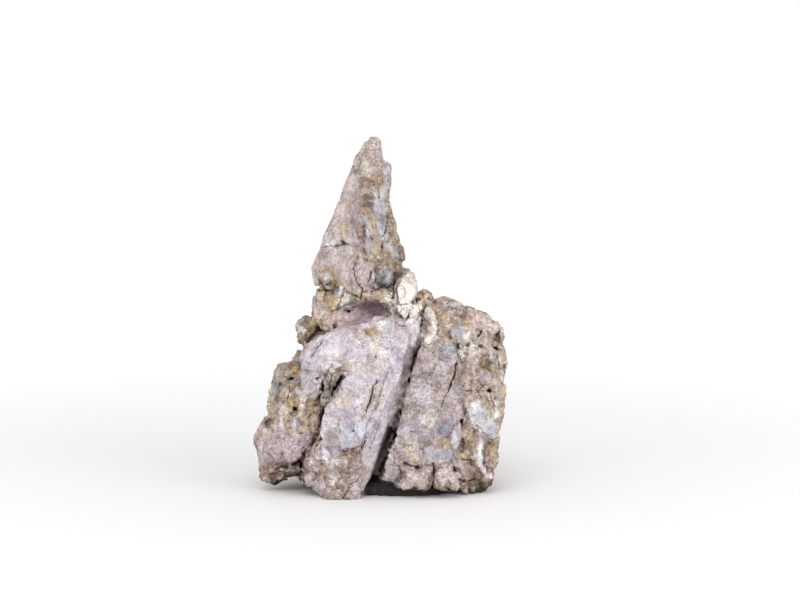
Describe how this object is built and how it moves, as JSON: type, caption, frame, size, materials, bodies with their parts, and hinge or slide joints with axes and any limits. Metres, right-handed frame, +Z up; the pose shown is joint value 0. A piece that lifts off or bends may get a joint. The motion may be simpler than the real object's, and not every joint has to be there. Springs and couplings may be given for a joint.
{
  "type": "ibigawa rock",
  "caption": "Natural breccia stone with a tall pointed peak, a leaning front slab, a slanting cleft and a flat underside that it stands on.",
  "frame": {"origin": "on the flat underside, at the ground, below the foot of the peak", "axes": "+Z up through the peak, +X to the right in the front view, +Y to the hidden back"},
  "size_m": [0.1846, 0.1289, 0.2606],
  "materials": {
    "stone": "rough mauve breccia with ochre filling, blue-grey quartz and white calcite"
  },
  "bodies": {
    "root": {"rock": "stone"}
  },
  "joints": []
}
